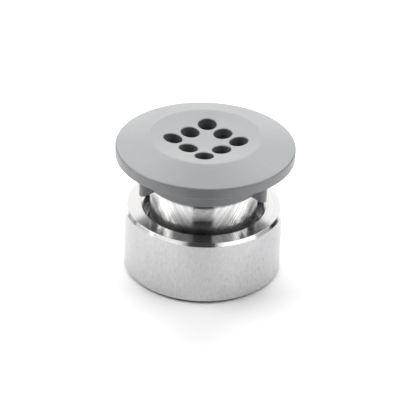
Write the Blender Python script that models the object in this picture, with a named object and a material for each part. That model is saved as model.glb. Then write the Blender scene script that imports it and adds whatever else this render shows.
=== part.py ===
"""Press-to-vent steam valve: a sleeve, a spring-loaded bell plunger with a relief valve, and a turning cap.

Metres, +Z up. The valve stands on z = 0 with its axis on Z. Touching pieces keep a gap of at least GAP.
"""

import math

import bmesh
import bpy
from mathutils import Matrix, Vector

MM = 0.001
GAP = 0.3 * MM  # kept between neighbouring solids
FINE = 48  # facets round a large turned piece
COARSE = 28  # facets round a small one

# Sleeve
SLEEVE_R = 17.5 * MM
SLEEVE_H = 15.2 * MM
RIM_CHAMFER_R = 0.5 * MM
RIM_CHAMFER_H = 0.8 * MM
COUNTERBORE_R = 13.4 * MM
COUNTERBORE_CHAMFER = 0.5 * MM
COUNTERBORE_DEPTH = 4.4 * MM
THREAD_R = 15.0 * MM  # bore that the base cup screws into
STEP_Z = SLEEVE_H - COUNTERBORE_DEPTH + GAP  # shoulder that the guide ring is clamped against

# Guide ring
GUIDE_R = 12.5 * MM
GUIDE_TOP_Z = SLEEVE_H - COUNTERBORE_DEPTH
GUIDE_T = 1.6 * MM

# Seat gasket, under the guide ring: the base cup clamps its outer half, the plunger's flange seals on the inner
GASKET_R = 12.8 * MM
GASKET_T = 0.6 * MM
GASKET_Z = GUIDE_TOP_Z - GUIDE_T - GAP - GASKET_T

# Base cup
CUP_R = THREAD_R - GAP
CUP_WALL_R = 13.9 * MM
CUP_Z = 0.25 * MM
CUP_FLOOR_Z = 1.4 * MM
CUP_TOP_Z = GASKET_Z - GAP
BOSS_R = 6.8 * MM
BOSS_TOP_Z = 7.0 * MM
SOCKET_R = 4.6 * MM
SOCKET_TOP_Z = 5.6 * MM
UNDERCUT_R = 5.4 * MM
UNDERCUT_Z = 3.4 * MM
INLET_R = 1.8 * MM
SPANNER_HOLE_R = 1.25 * MM
SPANNER_HOLE_DEPTH = 0.6 * MM
SPANNER_PITCH_R = 10.4 * MM

# Inlet seal and screen, in the socket's undercut
SEAL_T = 1.0 * MM
SEAL_Z = UNDERCUT_Z + GAP
SEAL_INNER_R = 3.3 * MM
SCREEN_R = UNDERCUT_R - GAP
SCREEN_T = 0.3 * MM
SCREEN_Z = SOCKET_TOP_Z - GAP - SCREEN_T
SCREEN_HOLE_R = 0.4 * MM
SCREEN_PITCH = 1.15 * MM

# Bell plunger
BELL_R = 11.95 * MM
BELL_WALL = 1.35 * MM
FLANGE_R = 13.5 * MM
FLANGE_T = 1.1 * MM
FLANGE_TOP_Z = GASKET_Z - GAP
FLANGE_Z = FLANGE_TOP_Z - FLANGE_T
SHOULDER_Z = 20.4 * MM  # where the wall ends and the rounded shoulder begins
SHOULDER_R = 1.8 * MM
CROWN_Z = SHOULDER_Z + SHOULDER_R
ROOF_Z = 20.2 * MM  # underside of the crown
NECK_R = 6.2 * MM
NECK_TOP_Z = 27.9 * MM
PENDANT_R = 5.6 * MM  # boss that hangs inside the bell and holds the relief valve
PENDANT_Z = 12.6 * MM
RELIEF_BORE_R = 3.3 * MM
RELIEF_BORE_Z = 13.9 * MM
SCREW_BORE_R = 4.4 * MM
SCREW_BORE_Z = 24.8 * MM
ORING_GROOVE_R = 5.3 * MM
ORING_GROOVE_Z = 24.0 * MM
ORING_GROOVE_W = 1.2 * MM
CIRCLIP_GROOVE_R = 5.7 * MM
CIRCLIP_GROOVE_Z = 25.85 * MM
CIRCLIP_GROOVE_W = 1.2 * MM

# Return spring and the washer over it
WASHER_T = 0.5 * MM
WASHER_Z = ROOF_Z - GAP - WASHER_T
RETURN_WIRE = 0.9 * MM
RETURN_MEAN_R = 7.9 * MM
RETURN_ACTIVE_TURNS = 6
RETURN_END_PITCH = 1.15 * MM

# Relief valve
SEAT_Z = RELIEF_BORE_Z + GAP
SEAT_T = 1.4 * MM
SEAT_HOLE_R = 1.5 * MM
SEAT_CONE = 0.7 * MM  # height and width of the 45 degree seat
BALL_R = 2.4 * MM
BALL_Z = SEAT_Z + SEAT_T - SEAT_CONE - SEAT_HOLE_R + (BALL_R + GAP) * math.sqrt(2)
FOLLOWER_R = 2.8 * MM
FOLLOWER_TOP_Z = 21.2 * MM
FOLLOWER_RECESS_Z = 20.4 * MM
SPIGOT_R = 1.1 * MM
SPIGOT_TOP_Z = 22.3 * MM
RELIEF_WIRE = 0.45 * MM
RELIEF_MEAN_R = 1.9 * MM
RELIEF_TURNS = 4
SCREW_Z = 25.2 * MM
SCREW_T = 1.3 * MM
SCREW_R = SCREW_BORE_R - GAP
SCREW_HEX_R = 1.45 * MM
NUT_Z = SCREW_Z + SCREW_T + GAP
NUT_T = 1.0 * MM
NUT_HOLE_R = 2.2 * MM
NUT_SLOT_W = 1.0 * MM

# Cap
CAP_TURN = math.radians(-1.8)  # how far the cap stands turned at rest
COLLAR_R = 13.3 * MM
COLLAR_WALL = 1.6 * MM
COLLAR_Z = 21.9 * MM
CAVITY_TOP_Z = 28.8 * MM
DISC_R = 19.75 * MM
DISC_Z = 27.5 * MM
DISC_EDGE_Z = 30.1 * MM
EDGE_ROUND = 0.45 * MM
DISH_CENTRE_Z = 30.7 * MM
DISH_RADIUS = 52.47 * MM
CREST_R = 12.25 * MM
CREST_ROUND = 0.35 * MM  # how far the rounded crest reaches to each side of CREST_R
HUB_R = 8.3 * MM
HUB_BORE_R = NECK_R + GAP
HUB_Z = 23.35 * MM
HUB_H = CIRCLIP_GROOVE_Z - HUB_Z
SPOKE_W = 1.6 * MM
VENT_HOLE_R = 2.05 * MM
VENT_PITCH = 5.1 * MM
LEG_COUNT = 3
LEG_FIRST = math.radians(90)
LEG_W = 2.0 * MM
LEG_R = 15.9 * MM  # outer end of a leg, over the sleeve's rim
LEG_Z = 20.7 * MM  # foot of a leg, at its outer end
LEG_SLOPE = 0.214  # rise of a leg's lower edge towards the collar

# Cap fastening
THRUST_Z = CROWN_Z + GAP
THRUST_T = HUB_Z - GAP - THRUST_Z
CIRCLIP_Z = CIRCLIP_GROOVE_Z + GAP
CIRCLIP_T = CIRCLIP_GROOVE_W - 2 * GAP
CIRCLIP_R = 7.6 * MM
CIRCLIP_OPENING = math.radians(40)
ORING_SECTION_R = 0.3 * MM


def clear_scene():
    for old in list(bpy.data.objects):
        bpy.data.objects.remove(old, do_unlink=True)


def make_material(name, color, roughness, metallic):
    material = bpy.data.materials.new(name)
    material.use_nodes = True
    shader = material.node_tree.nodes["Principled BSDF"]
    shader.inputs["Base Color"].default_value = (*color, 1)
    shader.inputs["Roughness"].default_value = roughness
    shader.inputs["Metallic"].default_value = metallic
    return material


def steel(name):
    return make_material(name, (0.66, 0.66, 0.67), 0.25, 1.0)


def spring_steel(name):
    return make_material(name, (0.5, 0.5, 0.52), 0.3, 1.0)


def silicone(name):
    return make_material(name, (0.75, 0.73, 0.7), 0.6, 0.0)


def add_object(name, data, material, z=0.0, parent=None):
    """Puts a mesh or curve on the valve's axis, with its origin at height z."""
    piece = bpy.data.objects.new(name, data)
    bpy.context.scene.collection.objects.link(piece)
    data.materials.append(material)
    piece.location.z = z
    piece.parent = parent
    return piece


def add_axis(name, parent=None):
    """An empty on the valve's axis, which carries one moving body."""
    axis = bpy.data.objects.new(name, None)
    axis.empty_display_size = SLEEVE_R
    bpy.context.scene.collection.objects.link(axis)
    axis.parent = parent
    return axis


def arc(centre_r, centre_z, radius, start, end, steps):
    """Points on an arc in the (r, z) half plane, angles in degrees."""
    points = []
    for step in range(steps + 1):
        angle = math.radians(start + (end - start) * step / steps)
        points.append((centre_r + radius * math.cos(angle), centre_z + radius * math.sin(angle)))
    return points


def mesh_from(name, work):
    bmesh.ops.remove_doubles(work, verts=work.verts, dist=1e-7)
    bmesh.ops.recalc_face_normals(work, faces=work.faces)
    mesh = bpy.data.meshes.new(name)
    work.to_mesh(mesh)
    work.free()
    mesh.shade_smooth()
    mesh.set_sharp_from_angle(angle=math.radians(30))
    return mesh


def turned_mesh(name, outline, facets):
    """Spins a closed (r, z) outline round Z. Points with r = 0 lie on the axis."""
    work = bmesh.new()
    verts = [work.verts.new((r, 0, z)) for r, z in outline]
    edges = []
    for here, there in zip(verts, verts[1:] + verts[:1]):
        on_axis = here.co.x == 0 and there.co.x == 0
        if not on_axis:
            edges.append(work.edges.new((here, there)))
    bmesh.ops.spin(
        work, geom=verts + edges, axis=(0, 0, 1), cent=(0, 0, 0), angle=2 * math.pi, steps=facets
    )
    return mesh_from(name, work)


def turned(name, outline, facets, material, z=0.0, parent=None):
    local = [(r, height - z) for r, height in outline]
    return add_object(name, turned_mesh(name, local, facets), material, z, parent)


def ring(name, inner, outer, z, thickness, facets, material, parent=None):
    top = z + thickness
    outline = [(inner, z), (outer, z), (outer, top), (inner, top)]
    return turned(name, outline, facets, material, z, parent)


def prism_mesh(name, outline, z, height):
    """A vertical prism over a closed (x, y) outline."""
    work = bmesh.new()
    base = work.faces.new([work.verts.new((x, y, z)) for x, y in outline])
    lifted = bmesh.ops.extrude_face_region(work, geom=[base])["geom"]
    for item in lifted:
        if isinstance(item, bmesh.types.BMVert):
            item.co.z += height
    return mesh_from(name, work)


def disc_outline(x, y, radius, facets):
    points = []
    for step in range(facets):
        angle = 2 * math.pi * step / facets
        points.append((x + radius * math.cos(angle), y + radius * math.sin(angle)))
    return points


def bar_outline(inner, outer, width, angle):
    """A radial bar from inner to outer, at an angle round Z."""
    turn = Matrix.Rotation(angle, 2)
    corners = [(inner, -width / 2), (outer, -width / 2), (outer, width / 2), (inner, width / 2)]
    return [tuple(turn @ Vector(corner)) for corner in corners]


def tool(name, mesh, piece):
    """A hidden object for a Boolean on piece, in the same frame as piece."""
    cutter = bpy.data.objects.new(name, mesh)
    bpy.context.scene.collection.objects.link(cutter)
    cutter.hide_render = True
    cutter.display_type = "WIRE"
    cutter.parent = piece.parent
    cutter.location = piece.location
    return cutter


def combine(piece, mesh, operation):
    """Adds a Boolean of mesh to piece: UNION or DIFFERENCE."""
    modifier = piece.modifiers.new(mesh.name, "BOOLEAN")
    modifier.operation = operation
    modifier.object = tool(f"{mesh.name}_tool", mesh, piece)


def coil(name, mean_r, wire, z, length, active, end_pitch, sides, material, parent=None):
    """A compression spring with one closed turn at each end, standing from z to z + length."""
    steps_per_turn = 20
    turns = active + 2
    active_pitch = (length - wire - 2 * end_pitch) / active
    curve = bpy.data.curves.new(name, "CURVE")
    curve.dimensions = "3D"
    curve.bevel_depth = wire / 2
    curve.bevel_resolution = sides
    curve.use_fill_caps = True
    spline = curve.splines.new("POLY")
    count = turns * steps_per_turn + 1
    spline.points.add(count - 1)
    for index, point in enumerate(spline.points):
        turn = index / steps_per_turn
        height = wire / 2 + end_pitch * min(turn, 1) + end_pitch * max(turn - turns + 1, 0)
        height += active_pitch * min(max(turn - 1, 0), active)
        angle = 2 * math.pi * turn
        point.co = (mean_r * math.cos(angle), mean_r * math.sin(angle), height, 1)
    return add_object(name, curve, material, z, parent)


def make_sleeve():
    rim_r = SLEEVE_R - RIM_CHAMFER_R
    mouth_r = COUNTERBORE_R + COUNTERBORE_CHAMFER
    outline = [
        (THREAD_R, 0),
        (SLEEVE_R, 0),
        (SLEEVE_R, SLEEVE_H - RIM_CHAMFER_H),
        (rim_r, SLEEVE_H),
        (mouth_r, SLEEVE_H),
        (COUNTERBORE_R, SLEEVE_H - COUNTERBORE_CHAMFER),
        (COUNTERBORE_R, STEP_Z),
        (THREAD_R, STEP_Z),
    ]
    return turned("sleeve", outline, FINE, steel("sleeve_steel"))


def make_guide_ring():
    z = GUIDE_TOP_Z - GUIDE_T
    return ring("guide_ring", GUIDE_R, CUP_R, z, GUIDE_T, FINE, steel("guide_steel"))


def make_seat_gasket():
    material = silicone("gasket_silicone")
    return ring("seat_gasket", GASKET_R, CUP_R, GASKET_Z, GASKET_T, FINE, material)


def make_base_cup():
    outline = [
        (INLET_R, SOCKET_TOP_Z),
        (UNDERCUT_R, SOCKET_TOP_Z),
        (UNDERCUT_R, UNDERCUT_Z),
        (SOCKET_R, UNDERCUT_Z),
        (SOCKET_R, CUP_Z),
        (CUP_R, CUP_Z),
        (CUP_R, CUP_TOP_Z),
        (CUP_WALL_R, CUP_TOP_Z),
        (CUP_WALL_R, CUP_FLOOR_Z),
        (BOSS_R, CUP_FLOOR_Z),
        (BOSS_R, BOSS_TOP_Z),
        (INLET_R, BOSS_TOP_Z),
    ]
    cup = turned("base_cup", outline, FINE, steel("base_steel"))
    for side, x in (("left", -SPANNER_PITCH_R), ("right", SPANNER_PITCH_R)):
        hole = disc_outline(x, 0, SPANNER_HOLE_R, 16)
        depth = CUP_Z + SPANNER_HOLE_DEPTH
        combine(cup, prism_mesh(f"spanner_hole_{side}", hole, -GAP, depth + GAP), "DIFFERENCE")
    return cup


def make_inlet_seal():
    material = silicone("inlet_silicone")
    return ring("inlet_seal", SEAL_INNER_R, SCREEN_R, SEAL_Z, SEAL_T, COARSE, material)


def make_inlet_screen():
    outline = [(0, 0), (SCREEN_R, 0), (SCREEN_R, SCREEN_T), (0, SCREEN_T)]
    mesh = turned_mesh("inlet_screen", outline, COARSE)
    screen = add_object("inlet_screen", mesh, steel("screen_steel"), SCREEN_Z)
    for circle in (0, 1, 2):
        for step in range(max(1, 6 * circle)):
            angle = 2 * math.pi * step / max(1, 6 * circle)
            x = circle * SCREEN_PITCH * math.cos(angle)
            y = circle * SCREEN_PITCH * math.sin(angle)
            hole = disc_outline(x, y, SCREEN_HOLE_R, 10)
            name = f"screen_hole_{circle}_{step}"
            combine(screen, prism_mesh(name, hole, -SCREEN_T, 3 * SCREEN_T), "DIFFERENCE")
    return screen


def make_return_spring():
    z = CUP_FLOOR_Z + GAP
    length = WASHER_Z - GAP - z
    material = spring_steel("return_spring_steel")
    return coil(
        "return_spring", RETURN_MEAN_R, RETURN_WIRE, z, length,
        RETURN_ACTIVE_TURNS, RETURN_END_PITCH, 1, material,
    )


def bell_outline():
    return [
        (BELL_R - BELL_WALL, FLANGE_Z),
        (FLANGE_R, FLANGE_Z),
        (FLANGE_R, FLANGE_TOP_Z),
        (BELL_R, FLANGE_TOP_Z),
        *arc(BELL_R - SHOULDER_R, SHOULDER_Z, SHOULDER_R, 0, 90, 6),
        (NECK_R, CROWN_Z),
        (NECK_R, ORING_GROOVE_Z),
        (ORING_GROOVE_R, ORING_GROOVE_Z),
        (ORING_GROOVE_R, ORING_GROOVE_Z + ORING_GROOVE_W),
        (NECK_R, ORING_GROOVE_Z + ORING_GROOVE_W),
        (NECK_R, CIRCLIP_GROOVE_Z),
        (CIRCLIP_GROOVE_R, CIRCLIP_GROOVE_Z),
        (CIRCLIP_GROOVE_R, CIRCLIP_GROOVE_Z + CIRCLIP_GROOVE_W),
        (NECK_R, CIRCLIP_GROOVE_Z + CIRCLIP_GROOVE_W),
        (NECK_R, NECK_TOP_Z),
        (SCREW_BORE_R, NECK_TOP_Z),
        (SCREW_BORE_R, SCREW_BORE_Z),
        (RELIEF_BORE_R, SCREW_BORE_Z),
        (RELIEF_BORE_R, RELIEF_BORE_Z),
        (INLET_R, RELIEF_BORE_Z),
        (INLET_R, PENDANT_Z),
        (PENDANT_R, PENDANT_Z),
        (PENDANT_R, ROOF_Z),
        (BELL_R - BELL_WALL, ROOF_Z),
    ]


def make_bell_plunger(parent):
    return turned("bell_plunger", bell_outline(), FINE, steel("bell_steel"), FLANGE_Z, parent)


def make_spring_washer(parent):
    inner = PENDANT_R + 2 * GAP
    outer = RETURN_MEAN_R + RETURN_WIRE
    material = steel("washer_steel")
    return ring("spring_washer", inner, outer, WASHER_Z, WASHER_T, COARSE, material, parent)


def make_relief_seat(parent):
    top = SEAT_Z + SEAT_T
    outline = [
        (SEAT_HOLE_R, SEAT_Z),
        (RELIEF_BORE_R - GAP, SEAT_Z),
        (RELIEF_BORE_R - GAP, top),
        (SEAT_HOLE_R + SEAT_CONE, top),
        (SEAT_HOLE_R, top - SEAT_CONE),
    ]
    return turned("relief_seat", outline, COARSE, steel("seat_steel"), SEAT_Z, parent)


def make_relief_ball(parent):
    outline = arc(0, BALL_Z, BALL_R, -90, 90, 12)
    outline[0] = (0, BALL_Z - BALL_R)
    outline[-1] = (0, BALL_Z + BALL_R)
    return turned("relief_ball", outline, 24, steel("ball_steel"), BALL_Z, parent)


def make_ball_follower(parent):
    cone_apex_z = BALL_Z + (BALL_R + GAP) * math.sqrt(2)
    outline = [
        (0, FOLLOWER_RECESS_Z),
        (cone_apex_z - FOLLOWER_RECESS_Z, FOLLOWER_RECESS_Z),
        (FOLLOWER_R - GAP, cone_apex_z - FOLLOWER_R + GAP),
        (FOLLOWER_R, cone_apex_z - FOLLOWER_R + GAP),
        (FOLLOWER_R, FOLLOWER_TOP_Z),
        (SPIGOT_R, FOLLOWER_TOP_Z),
        (SPIGOT_R, SPIGOT_TOP_Z),
        (0, SPIGOT_TOP_Z),
    ]
    return turned("ball_follower", outline, COARSE, steel("follower_steel"), BALL_Z, parent)


def make_relief_spring(parent):
    z = FOLLOWER_TOP_Z + GAP
    length = SCREW_Z - GAP - z
    end_pitch = RELIEF_WIRE + GAP / 2
    material = spring_steel("relief_spring_steel")
    return coil(
        "relief_spring", RELIEF_MEAN_R, RELIEF_WIRE, z, length,
        RELIEF_TURNS - 2, end_pitch, 1, material, parent,
    )


def make_adjusting_screw(parent):
    outline = [(0, 0), (SCREW_R, 0), (SCREW_R, SCREW_T), (0, SCREW_T)]
    mesh = turned_mesh("adjusting_screw", outline, COARSE)
    material = make_material("screw_brass", (0.76, 0.6, 0.32), 0.3, 1.0)
    screw = add_object("adjusting_screw", mesh, material, SCREW_Z, parent)
    hexagon = disc_outline(0, 0, SCREW_HEX_R, 6)
    combine(screw, prism_mesh("hex_socket", hexagon, -SCREW_T, 3 * SCREW_T), "DIFFERENCE")
    return screw


def make_lock_nut(parent):
    material = make_material("nut_brass", (0.76, 0.6, 0.32), 0.3, 1.0)
    nut = ring("lock_nut", NUT_HOLE_R, SCREW_R, NUT_Z, NUT_T, COARSE, material, parent)
    for side, angle in (("right", 0), ("left", math.pi)):
        slot = bar_outline(NUT_HOLE_R + GAP, 2 * SCREW_R, NUT_SLOT_W, angle)
        combine(nut, prism_mesh(f"nut_slot_{side}", slot, NUT_T / 2, NUT_T), "DIFFERENCE")
    return nut


def make_thrust_washer(parent):
    material = make_material("thrust_ptfe", (0.86, 0.86, 0.84), 0.45, 0.0)
    return ring(
        "thrust_washer", HUB_BORE_R, HUB_R, THRUST_Z, THRUST_T, COARSE, material, parent
    )


def make_neck_o_ring(parent):
    centre_r = NECK_R - ORING_SECTION_R
    centre_z = ORING_GROOVE_Z + ORING_GROOVE_W / 2
    outline = arc(centre_r, centre_z, ORING_SECTION_R, 0, 315, 7)
    material = silicone("o_ring_silicone")
    return turned("neck_o_ring", outline, COARSE, material, centre_z, parent)


def make_cap_circlip(parent):
    material = spring_steel("circlip_steel")
    clip = ring(
        "cap_circlip", NECK_R - GAP / 2, CIRCLIP_R, CIRCLIP_Z, CIRCLIP_T, COARSE, material, parent
    )
    half = CIRCLIP_OPENING / 2
    reach = 2 * CIRCLIP_R
    wedge = [(0, 0), (reach, -reach * math.tan(half)), (reach, reach * math.tan(half))]
    combine(clip, prism_mesh("circlip_opening", wedge, -CIRCLIP_T, 3 * CIRCLIP_T), "DIFFERENCE")
    return clip


def dish_z(r):
    """Height of the dished top at radius r."""
    return DISH_CENTRE_Z + DISH_RADIUS - math.sqrt(DISH_RADIUS**2 - r**2)


def cone_z(r):
    """Height of the sloping margin at radius r."""
    crest_z = dish_z(CREST_R)
    return crest_z + (DISC_EDGE_Z - crest_z) * (r - CREST_R) / (DISC_R - CREST_R)


def cap_outline():
    dish = [(r, dish_z(r)) for r in (0, CREST_R / 4, CREST_R / 2, CREST_R * 0.7)]
    start = Vector((CREST_R - CREST_ROUND, dish_z(CREST_R - CREST_ROUND)))
    end = Vector((CREST_R + CREST_ROUND, cone_z(CREST_R + CREST_ROUND)))
    peak = Vector((CREST_R, dish_z(CREST_R)))
    crest = []
    for step in range(5):
        t = step / 4
        crest.append(tuple(start * (1 - t) ** 2 + peak * 2 * t * (1 - t) + end * t**2))
    edge_r = DISC_R - EDGE_ROUND
    return [
        *dish,
        *crest,
        *arc(edge_r, DISC_EDGE_Z - EDGE_ROUND, EDGE_ROUND, 75, 0, 3),
        *arc(edge_r, DISC_Z + EDGE_ROUND, EDGE_ROUND, 0, -90, 3),
        (COLLAR_R, DISC_Z),
        (COLLAR_R, COLLAR_Z),
        (COLLAR_R - COLLAR_WALL, COLLAR_Z),
        (COLLAR_R - COLLAR_WALL, CAVITY_TOP_Z),
        (0, CAVITY_TOP_Z),
    ]


def leg_mesh(name, angle):
    """A radial rib with a rounded outer end, whose lower edge rises towards the collar."""
    half = LEG_W / 2
    inner = COLLAR_R - COLLAR_WALL / 2
    plan = [(inner, -half)]
    for step in range(9):
        turn = math.radians(-90 + 180 * step / 8)
        plan.append((LEG_R - half + half * math.cos(turn), half * math.sin(turn)))
    plan.append((inner, half))
    rotation = Matrix.Rotation(angle, 3, "Z")
    work = bmesh.new()
    low = []
    high = []
    for u, v in plan:
        foot = LEG_Z + LEG_SLOPE * (LEG_R - u)
        low.append(work.verts.new(rotation @ Vector((u, v, foot))))
        high.append(work.verts.new(rotation @ Vector((u, v, DISC_Z + GAP))))
    work.faces.new(low)
    work.faces.new(high)
    count = len(plan)
    for index in range(count):
        after = (index + 1) % count
        work.faces.new((low[index], low[after], high[after], high[index]))
    return mesh_from(name, work)


def make_vent_cap(parent):
    material = make_material("cap_plastic", (0.36, 0.38, 0.39), 0.5, 0.0)
    cap = turned("vent_cap", cap_outline(), FINE, material, 0, parent)
    hub = [
        (HUB_BORE_R, HUB_Z),
        (HUB_R, HUB_Z),
        (HUB_R, HUB_Z + HUB_H),
        (HUB_BORE_R, HUB_Z + HUB_H),
    ]
    inside_collar = COLLAR_R - COLLAR_WALL / 2
    for index in range(LEG_COUNT):
        angle = LEG_FIRST + 2 * math.pi * index / LEG_COUNT
        combine(cap, leg_mesh(f"leg_{index}", angle), "UNION")
        spoke = bar_outline(HUB_R - COLLAR_WALL / 2, inside_collar, SPOKE_W, angle)
        combine(cap, prism_mesh(f"spoke_{index}", spoke, HUB_Z, HUB_H), "UNION")
    combine(cap, turned_mesh("hub", hub, COARSE), "UNION")
    diamond = Matrix.Rotation(math.radians(45), 2)
    for column in (-1, 0, 1):
        for row in (-1, 0, 1):
            if column == 0 and row == 0:
                continue
            x, y = diamond @ Vector((column * VENT_PITCH, row * VENT_PITCH))
            hole = disc_outline(x, y, VENT_HOLE_R, 20)
            name = f"vent_hole_{column + 1}_{row + 1}"
            height = CREST_R
            combine(cap, prism_mesh(name, hole, CAVITY_TOP_Z - GAP, height), "DIFFERENCE")
    return cap


def build():
    clear_scene()
    make_sleeve()
    make_guide_ring()
    make_seat_gasket()
    make_base_cup()
    make_inlet_seal()
    make_inlet_screen()
    make_return_spring()
    plunger = add_axis("plunger_slide_axis")
    make_bell_plunger(plunger)
    make_spring_washer(plunger)
    make_relief_seat(plunger)
    make_relief_spring(plunger)
    make_adjusting_screw(plunger)
    make_lock_nut(plunger)
    make_thrust_washer(plunger)
    make_neck_o_ring(plunger)
    make_cap_circlip(plunger)
    relief = add_axis("relief_lift_axis", plunger)
    make_relief_ball(relief)
    make_ball_follower(relief)
    cap_axis = add_axis("cap_turn_axis", plunger)
    cap_axis.rotation_euler.z = CAP_TURN
    make_vent_cap(cap_axis)


build()
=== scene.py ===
"""Looks of the press-to-vent steam valve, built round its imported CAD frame.

Metres, +Z up, in the frame's own place. Every piece is turned, wound or moulded round the Z axis, and
takes its place and main sizes from the CAD node that it stands for.
"""

import math

import bmesh
import bpy
from mathutils import Matrix, Vector
from mathutils.geometry import delaunay_2d_cdt


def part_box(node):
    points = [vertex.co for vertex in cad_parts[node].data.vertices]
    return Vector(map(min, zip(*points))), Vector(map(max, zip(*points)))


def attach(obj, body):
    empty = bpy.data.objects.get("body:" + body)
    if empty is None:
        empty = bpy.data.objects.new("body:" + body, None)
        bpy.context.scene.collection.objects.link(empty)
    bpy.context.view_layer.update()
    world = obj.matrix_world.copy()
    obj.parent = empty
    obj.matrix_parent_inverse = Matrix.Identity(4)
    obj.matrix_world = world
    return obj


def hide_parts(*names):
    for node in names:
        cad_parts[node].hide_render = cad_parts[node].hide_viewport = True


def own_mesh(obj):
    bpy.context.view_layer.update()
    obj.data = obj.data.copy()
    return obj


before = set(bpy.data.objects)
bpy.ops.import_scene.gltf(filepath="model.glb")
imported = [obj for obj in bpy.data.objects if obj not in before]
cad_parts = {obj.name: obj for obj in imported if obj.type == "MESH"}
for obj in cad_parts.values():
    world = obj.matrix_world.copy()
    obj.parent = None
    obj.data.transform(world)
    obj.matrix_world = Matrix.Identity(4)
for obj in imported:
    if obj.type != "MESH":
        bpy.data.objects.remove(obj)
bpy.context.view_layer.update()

MM = 0.001
FACETS = 192  # round a large turned piece
SMALL_FACETS = 96  # round a small one
WIRE_FACETS = 16  # round a spring's wire
BEND_STEPS = 5  # facets across a rounded edge
LEG_STEPS = 16  # facets round the end of a cap leg
GAP = 0.3 * MM  # between neighbouring pieces, as in the frame
OVERSHOOT = 1 * MM  # how far a cutter runs past what it cuts
SHARP = math.radians(32)  # edges sharper than this are not shaded smooth


# Sizes, from the frame

def reach(node):
    """Outer radius, lowest point and highest point of a CAD node that stands on the axis."""
    low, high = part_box(node)
    return min(high.x, high.y), low.z, high.z


SLEEVE_R, SLEEVE_Z, SLEEVE_TOP = reach("sleeve")
GUIDE_Z, GUIDE_TOP = reach("guide_ring")[1:]
CUP_R, CUP_Z, CUP_TOP = reach("base_cup")
FLANGE_R, FLANGE_Z, NECK_TOP = reach("bell_plunger")
SCREEN_R, SCREEN_Z, SCREEN_TOP = reach("inlet_screen")
HUB_R, THRUST_Z, THRUST_TOP = reach("thrust_washer")
SCREW_R, SCREW_Z, SCREW_TOP = reach("adjusting_screw")
FOLLOWER_R, FOLLOWER_Z, SPIGOT_TOP = reach("ball_follower")
BALL_R, BALL_Z, BALL_TOP = reach("relief_ball")
SEAT_R, SEAT_Z, SEAT_TOP = reach("relief_seat")
CAP_R, LEG_Z = reach("vent_cap")[:2]
CLIP_Z, CLIP_TOP = reach("cap_circlip")[1:]
CLIP_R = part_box("cap_circlip")[1].y  # its opening faces +X, so it is measured along Y
THREAD_R = 15.0 * MM
COUNTERBORE_R = 13.4 * MM
BELL_R = 11.95 * MM
BELL_WALL = 1.35 * MM
NECK_R = 6.2 * MM
SOCKET_R = 4.6 * MM
INLET_R = 1.8 * MM


# Outlines

def arc(centre_r, centre_z, radius, start, end, steps):
    """Points on an arc in the (r, z) half plane, angles in degrees."""
    points = []
    for step in range(steps + 1):
        angle = math.radians(start + (end - start) * step / steps)
        points.append((centre_r + radius * math.cos(angle), centre_z + radius * math.sin(angle)))
    return points


def bend(before, corner, after, radius):
    """Points of the arc that rounds one corner of an outline."""
    to_before = (before - corner).normalized()
    to_after = (after - corner).normalized()
    half = to_before.angle(to_after) / 2
    length = radius / math.tan(half)
    centre = corner + (to_before + to_after).normalized() * radius / math.sin(half)
    start = corner + to_before * length - centre
    end = corner + to_after * length - centre
    first = math.atan2(start.y, start.x)
    turn = math.remainder(math.atan2(end.y, end.x) - first, 2 * math.pi)
    points = []
    for step in range(BEND_STEPS + 1):
        angle = first + turn * step / BEND_STEPS
        points.append((centre.x + radius * math.cos(angle), centre.y + radius * math.sin(angle)))
    return points


def softened(corners):
    """An outline with its corners rounded: (r, z, radius), or (r, z) for a corner left as it is."""
    points = []
    for index, corner in enumerate(corners):
        if len(corner) == 2:
            points.append(corner)
            continue
        before = Vector(corners[index - 1][:2])
        after = Vector(corners[(index + 1) % len(corners)][:2])
        points.extend(bend(before, Vector(corner[:2]), after, corner[2]))
    return points


def washer_outline(inner, outer, low, high, edge):
    return softened([(inner, low, edge), (outer, low, edge), (outer, high, edge), (inner, high, edge)])


def circle_outline(x, y, radius, facets):
    points = []
    for step in range(facets):
        angle = 2 * math.pi * step / facets
        points.append((x + radius * math.cos(angle), y + radius * math.sin(angle)))
    return points


# Meshes

def on_circle(work, radius, z, facets):
    """A ring of vertices round the axis."""
    return [work.verts.new((x, y, z)) for x, y in circle_outline(0, 0, radius, facets)]


def bridge(work, lower, upper):
    """Faces between two rings of the same count, or between a ring and a single point."""
    count = max(len(lower), len(upper))
    if count == 1:
        return
    for step in range(count):
        after = (step + 1) % count
        corners = [lower[step % len(lower)], lower[after % len(lower)]]
        corners += [upper[after % len(upper)], upper[step % len(upper)]]
        work.faces.new(list(dict.fromkeys(corners)))


def spin(work, outline, facets=FACETS, closed=True):
    """Turns an (r, z) outline round Z. A point with r = 0 is a single vertex on the axis."""
    rings = []
    for r, z in outline:
        rings.append([work.verts.new((0, 0, z))] if r == 0 else on_circle(work, r, z, facets))
    for lower, upper in zip(rings, rings[1:]):
        bridge(work, lower, upper)
    if closed:
        bridge(work, rings[-1], rings[0])


def wind(work, section_at, turns, steps_per_turn=60):
    """Sweeps a closed section round Z. section_at gives its (r, z) points after that many turns."""
    rings = []
    for step in range(round(turns * steps_per_turn) + 1):
        turn = step / steps_per_turn
        angle = 2 * math.pi * turn
        ring = []
        for r, z in section_at(turn):
            ring.append(work.verts.new((r * math.cos(angle), r * math.sin(angle), z)))
        rings.append(ring)
    for lower, upper in zip(rings, rings[1:]):
        bridge(work, lower, upper)
    work.faces.new(rings[0])
    work.faces.new(rings[-1])


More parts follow.
